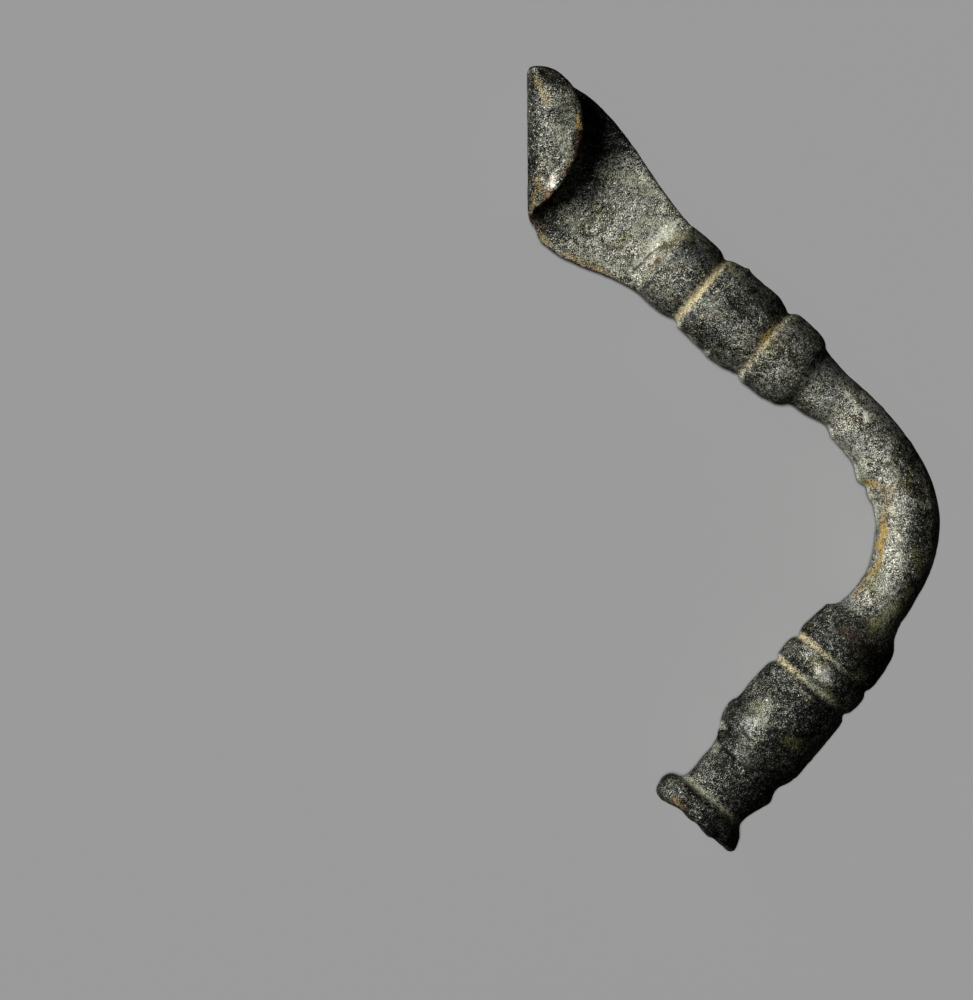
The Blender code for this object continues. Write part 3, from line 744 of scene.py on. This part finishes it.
# Patches that are rubbed a little besides the high spots
RUBBED_SPREAD = 0.3
RUBBED_PATCHES = (0.6, 31)
RUBBED_BEGINS = (0.1, 0.6)
rubbed_patches = smooth(*RUBBED_BEGINS, fractal(*RUBBED_PATCHES))
masks["rubbed"] = strokes(uneven, RUBBED_MARKS) * front + RUBBED_SPREAD * rubbed_patches


# Noises that shape the skin, by their cells to the millimetre, place and octaves
WAVES = (0.3, 0)
DENTS = (0.8, 40)
PITS = (2.6, -25, 1)
GRAIN = (3.6, 70, 1)
RAGGED_EDGE = (1.1, 90)

# How far each of them, and each deposit, raises or lowers the skin, in mm
WAVE_HEIGHT = 0.02
DENT_HEIGHT = 0.03
PIT_DEPTH = 0.05
GRAIN_HEIGHT = 0.018
RAGGED_HEIGHT = 0.09
LIME_HEIGHT = 0.035
SAND_HEIGHT = 0.05
SCRATCH_DEPTH = 0.03

# The levels at which a pit begins and is whole, how even the lime is against its grain, and how
# far from the broken end its raggedness reaches, in mm
PIT_BEGINS = (0.35, 0.75)
LIME_EVENNESS = 0.6
RAGGED_REACH = 0.7


def rough_cast():
    """How far each point of the cast and corroded skin stands proud, in mm."""
    grain = fractal(*GRAIN)
    broken = np.exp(-(lower_run / RAGGED_REACH) ** 2) * on_lower_arm
    heights = WAVE_HEIGHT * fractal(*WAVES) + DENT_HEIGHT * fractal(*DENTS) + GRAIN_HEIGHT * grain
    heights -= PIT_DEPTH * smooth(*PIT_BEGINS, fractal(*PITS))
    heights += broken * RAGGED_HEIGHT * fractal(*RAGGED_EDGE)
    heights += LIME_HEIGHT * masks["lime_and_painted_highlight"] * (LIME_EVENNESS + grain) + SAND_HEIGHT * masks["sand"]
    heights += strokes(pixels, LUMPS) - crack_depth - SCRATCH_DEPTH * scratched
    return heights


shaped = level + normals * rough_cast()[:, None]

placed = shaped @ turn.T + np.array(laid.translation)
placed[:, 2] = np.maximum(placed[:, 2], 0.0)
skin.vertices.foreach_set("co", (placed * MM).ravel())
skin.update()
for name, mask in masks.items():
    skin.attributes.new(name, "FLOAT", "POINT").data.foreach_set("value", mask)

brooch = bpy.data.objects.new("bronze_brooch", skin)
bpy.context.scene.collection.objects.link(brooch)
skin.shade_smooth()
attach(brooch, "root")
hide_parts("bow_and_catchplate")


# Materials

def add_node(tree, kind, inputs=None, ramp=None, **settings):
    """Adds a node with its settings, values and links, and gives it back."""
    made = tree.nodes.new(kind)
    for name, value in settings.items():
        setattr(made, name, value)
    for socket, value in (inputs or {}).items():
        if isinstance(value, bpy.types.NodeSocket):
            tree.links.new(value, made.inputs[socket])
        else:
            made.inputs[socket].default_value = value
    for number, (place, colour) in enumerate(ramp or ()):
        stops = made.color_ramp.elements
        stop = stops[number] if number < 2 else stops.new(place)
        stop.position, stop.color = place, colour
    return made


# Skin of the bronze, from its pits to the worn crystals that flash in the light. The two end stops
# come first, as a new ramp has them already
PATINA_TONES = [
    (0.37, from_hex("#1a1c1a")),
    (0.63, from_hex("#f0ecdc")),
    (0.46, from_hex("#5f625a")),
    (0.55, from_hex("#a6a595")),
]

# Cells to the millimetre of each pattern. Real mineral grains are finer than the photograph can
# part, and are drawn near 0.08 mm so that they show
GRAIN_CELLS = 12.5
SPARKLE_CELLS = 20.0
CLOT_CELLS = 3.4
PATCH_CELLS = 0.55
# How much the sparkle weighs beside the grain, and the clots beside both
SPARKLE_SHARE = 0.35
CLOT_SHARE = 0.28
# How far a rubbed spot is evened out, and the level that it comes to
RUBBED_SHARE = 0.6
RUBBED_LEVEL = 0.51
# How strongly grain, patches, and wear with its painted highlights and painted shade change the
# tone. A middling value of each leaves it be
GRAIN_CONTRAST = 1.5
PATCH_WEIGHT = 0.35
WORN_WEIGHT = 0.35
# How sharply the grains break up the edge of a deposit, the levels between which it comes to cover
# the bronze, and how much of the bronze it covers then
BREAKING_UP = 8.0
DEPOSIT_BEGINS = 0.2
DEPOSIT_WHOLE = 1.0
DEPOSIT_COVER = 0.8
BARE_METALLIC = 0.95
BARE_ROUGHNESS = 0.6
# The sparkle's levels, and how much it dims or lights the colour at each
SPECKLE_LEVELS = (0.36, 0.64)
SPECKLE_LIGHT = (0.62, 1.3)
# Height of the grains, in mm
RELIEF_HEIGHT = 0.14

# Tints of the patina's patches: channel of the noise, the levels between which it grows, colour
TINTS = [
    ("Red", 0.5, 0.66, "#a9b0bd"),
    ("Green", 0.54, 0.7, "#b8b592"),
    ("Blue", 0.58, 0.74, "#c9b3a0"),
]
TINT_STRENGTH = 0.8

# Deposits, the lowest first: mask, colour, metallic and roughness. Rust here is the red-brown
# corrosion of bronze, olive its green one, and gold a yellow soil. The lime and the chalk also carry
# painted highlights on the key-lit sides and on a few lit bands
DEPOSITS = [
    ("rust", "#4f3826", 1.0, 0.4),
    ("olive", "#85824f", 0.3, 0.8),
    ("lime_and_painted_highlight", "#a5a690", 0.1, 0.85),
    ("chalk_and_painted_highlight", "#d6d6c4", 0.0, 0.85),
    ("sand", "#dccda2", 0.0, 0.95),
    ("ochre", "#ae9767", 0.0, 0.9),
    ("gold", "#ad9038", 0.0, 0.9),
    ("crevice", "#0b0a08", 1.0, 0.9),
]


def attribute(tree, name):
    """One of the masks painted on the skin."""
    return add_node(tree, "ShaderNodeAttribute", attribute_name=name).outputs["Fac"]


def blended(tree, share, first, last):
    """Two numbers mixed by a share."""
    return add_node(tree, "ShaderNodeMix", {0: share, 2: first, 3: last},
                    data_type="FLOAT").outputs[0]


def patina_mask(tree, name, breaker):
    """How much of one deposit shows at a point, broken up grain by grain."""
    painted = attribute(tree, name)
    grains = add_node(tree, "ShaderNodeMath", {0: breaker, 1: BREAKING_UP, 2: 1 - BREAKING_UP / 2},
                      operation="MULTIPLY_ADD").outputs[0]
    broken = add_node(tree, "ShaderNodeMath", {0: grains, 1: painted},
                      operation="MULTIPLY").outputs[0]
    return add_node(tree, "ShaderNodeMapRange", {
        "Value": broken, "From Min": DEPOSIT_BEGINS, "From Max": DEPOSIT_WHOLE,
        "To Max": DEPOSIT_COVER,
    }).outputs[0]


def cast_bronze_under_dark_patina():
    """Cast bronze, dark with a rough mineral patina that catches the light grain by grain."""
    material = bpy.data.materials.new("cast_bronze_dark_patina")
    material.use_nodes = True
    tree = material.node_tree
    shader = tree.nodes["Principled BSDF"]
    where = add_node(tree, "ShaderNodeTexCoord").outputs["Object"]
    in_mm = add_node(tree, "ShaderNodeVectorMath", {0: where, "Scale": 1 / MM},
                     operation="SCALE").outputs[0]
    grain = add_node(tree, "ShaderNodeTexNoise", {
        "Vector": in_mm, "Scale": GRAIN_CELLS, "Detail": 1.0, "Roughness": 0.6,
    }).outputs["Fac"]
    clots = add_node(tree, "ShaderNodeTexNoise", {
        "Vector": in_mm, "Scale": CLOT_CELLS, "Detail": 2.0, "Roughness": 0.6,
    }).outputs["Fac"]
    patches = add_node(tree, "ShaderNodeTexNoise", {
        "Vector": in_mm, "Scale": PATCH_CELLS, "Detail": 3.0, "Roughness": 0.55,
    })
    sparkle = add_node(tree, "ShaderNodeTexNoise", {
        "Vector": in_mm, "Scale": SPARKLE_CELLS, "Detail": 0.0,
    }).outputs["Fac"]
    fine = blended(tree, SPARKLE_SHARE, grain, sparkle)
    rough = blended(tree, CLOT_SHARE, fine, clots)
    rubbed_share = add_node(tree, "ShaderNodeMath", {0: attribute(tree, "rubbed"), 1: RUBBED_SHARE},
                            operation="MULTIPLY").outputs[0]
    relief = blended(tree, rubbed_share, rough, RUBBED_LEVEL)
    contrast = add_node(tree, "ShaderNodeMath", {
        0: relief, 1: GRAIN_CONTRAST, 2: (1 - GRAIN_CONTRAST) / 2,
    }, operation="MULTIPLY_ADD").outputs[0]
    tone = add_node(tree, "ShaderNodeMath", {
        0: patches.outputs["Fac"], 1: PATCH_WEIGHT, 2: contrast,
    }, operation="MULTIPLY_ADD").outputs[0]
    tone = add_node(tree, "ShaderNodeMath", {0: attribute(tree, "wear_and_painted_light"), 1: WORN_WEIGHT, 2: tone},
                    operation="MULTIPLY_ADD").outputs[0]
    tone = add_node(tree, "ShaderNodeMath", {0: tone, 1: (PATCH_WEIGHT + WORN_WEIGHT) / 2},
                    operation="SUBTRACT").outputs[0]
    colour = add_node(tree, "ShaderNodeValToRGB", {"Fac": tone}, ramp=PATINA_TONES)
    colour = colour.outputs["Color"]
    hues = add_node(tree, "ShaderNodeSeparateColor", {"Color": patches.outputs["Color"]})
    for channel, low, high, tint in TINTS:
        share = add_node(tree, "ShaderNodeMapRange", {
            "Value": hues.outputs[channel], "From Min": low, "From Max": high,
            "To Max": TINT_STRENGTH,
        }).outputs[0]
        colour = add_node(tree, "ShaderNodeMix", {0: share, 6: colour, 7: from_hex(tint)},
                          data_type="RGBA", blend_type="MULTIPLY").outputs[2]
    metal = BARE_METALLIC
    gloss = BARE_ROUGHNESS
    for name, shade, metallic, roughness in DEPOSITS:
        share = patina_mask(tree, name, relief)
        colour = add_node(tree, "ShaderNodeMix", {0: share, 6: colour, 7: from_hex(shade)},
                          data_type="RGBA").outputs[2]
        metal = blended(tree, share, metal, metallic)
        gloss = blended(tree, share, gloss, roughness)
    speckle = add_node(tree, "ShaderNodeMapRange", {
        "Value": sparkle, "From Min": SPECKLE_LEVELS[0], "From Max": SPECKLE_LEVELS[1],
        "To Min": SPECKLE_LIGHT[0], "To Max": SPECKLE_LIGHT[1],
    }).outputs[0]
    colour = add_node(tree, "ShaderNodeVectorMath", {0: colour, "Scale": speckle},
                      operation="SCALE").outputs[0]
    tree.links.new(colour, shader.inputs["Base Color"])
    tree.links.new(metal, shader.inputs["Metallic"])
    tree.links.new(gloss, shader.inputs["Roughness"])
    bump = add_node(tree, "ShaderNodeBump",
                    {"Height": relief, "Strength": 1.0, "Distance": RELIEF_HEIGHT * MM})
    tree.links.new(bump.outputs["Normal"], shader.inputs["Normal"])
    return material


def pale_paper():
    """Plain matt paper under the brooch."""
    material = bpy.data.materials.new("matt_paper")
    material.use_nodes = True
    shader = material.node_tree.nodes["Principled BSDF"]
    shader.inputs["Base Color"].default_value = from_hex("#a8a8a8")
    shader.inputs["Roughness"].default_value = 0.95
    shader.inputs["Specular IOR Level"].default_value = 0.1
    return material


skin.materials.clear()
skin.materials.append(cast_bronze_under_dark_patina())

# Floor, lights and camera

# Side of the floor in metres, and how far it lies below the brooch so that the two never meet in one
# plane
FLOOR_SIDE = 3.0
FLOOR_GAP = 0.00002
floor_mesh = bpy.data.meshes.new("floor")
half = FLOOR_SIDE / 2
floor_mesh.from_pydata([(-half, -half, 0), (half, -half, 0), (half, half, 0), (-half, half, 0)],
                       [], [(0, 1, 2, 3)])
floor = bpy.data.objects.new("floor", floor_mesh)
bpy.context.scene.collection.objects.link(floor)
floor_mesh.materials.append(pale_paper())
floor.location.z = -FLOOR_GAP
floor.visible_diffuse = False
floor.visible_glossy = False


def lit_only(light, piece):
    """The light falls on this piece alone."""
    group = bpy.data.collections.new(light.name + "_falls_on")
    group.objects.link(piece)
    light.light_linking.receiver_collection = group


def add_area_light(name, azimuth, elevation, distance, size, power):
    """A square soft light that looks at the middle of the brooch."""
    data = bpy.data.lights.new(name, "AREA")
    data.size = size
    data.energy = power
    light = bpy.data.objects.new(name, data)
    bpy.context.scene.collection.objects.link(light)
    level_way = direction(azimuth) * math.cos(math.radians(elevation))
    light.location = (level_way + UP * math.sin(math.radians(elevation))) * distance
    light.rotation_euler = (-light.location).to_track_quat("-Z", "Y").to_euler()
    return light


# Angles are in degrees, distances and sizes in metres, powers in watts
key = add_area_light("key", azimuth=155, elevation=42, distance=0.5, size=0.26, power=3.9)
lit_only(key, brooch)
fill = add_area_light("fill", azimuth=-55, elevation=14, distance=0.5, size=0.3, power=0.035)
lit_only(fill, brooch)
floor_light = add_area_light("floor_light", azimuth=155, elevation=87, distance=1.5, size=0.12,
                             power=18.3)
lit_only(floor_light, floor)

WORLD_LEVEL = 0.007
world = bpy.data.worlds.new("studio")
world.use_nodes = True
world.node_tree.nodes["Background"].inputs["Color"].default_value = (
    WORLD_LEVEL, WORLD_LEVEL, WORLD_LEVEL, 1)
bpy.context.scene.world = world
bpy.context.scene.view_settings.view_transform = "Standard"

# Lens and sensor in mm, and the height in mm at which the photograph's scale holds
LENS = 200.0
SENSOR = 36.0
SCALE_HEIGHT = 3.1
camera_data = bpy.data.cameras.new("camera")
camera_data.lens = LENS
camera_data.sensor_width = SENSOR
camera_data.clip_start = 0.01
camera = bpy.data.objects.new("camera", camera_data)
bpy.context.scene.collection.objects.link(camera)
view_height = PHOTO_HEIGHT / PIXELS_PER_MM
camera.location = Vector((
    (PHOTO_WIDTH / 2 - PHOTO_ORIGIN[0]) / PIXELS_PER_MM,
    (PHOTO_ORIGIN[1] - PHOTO_HEIGHT / 2) / PIXELS_PER_MM,
    SCALE_HEIGHT + view_height * LENS / SENSOR,
)) * MM
bpy.context.scene.camera = camera
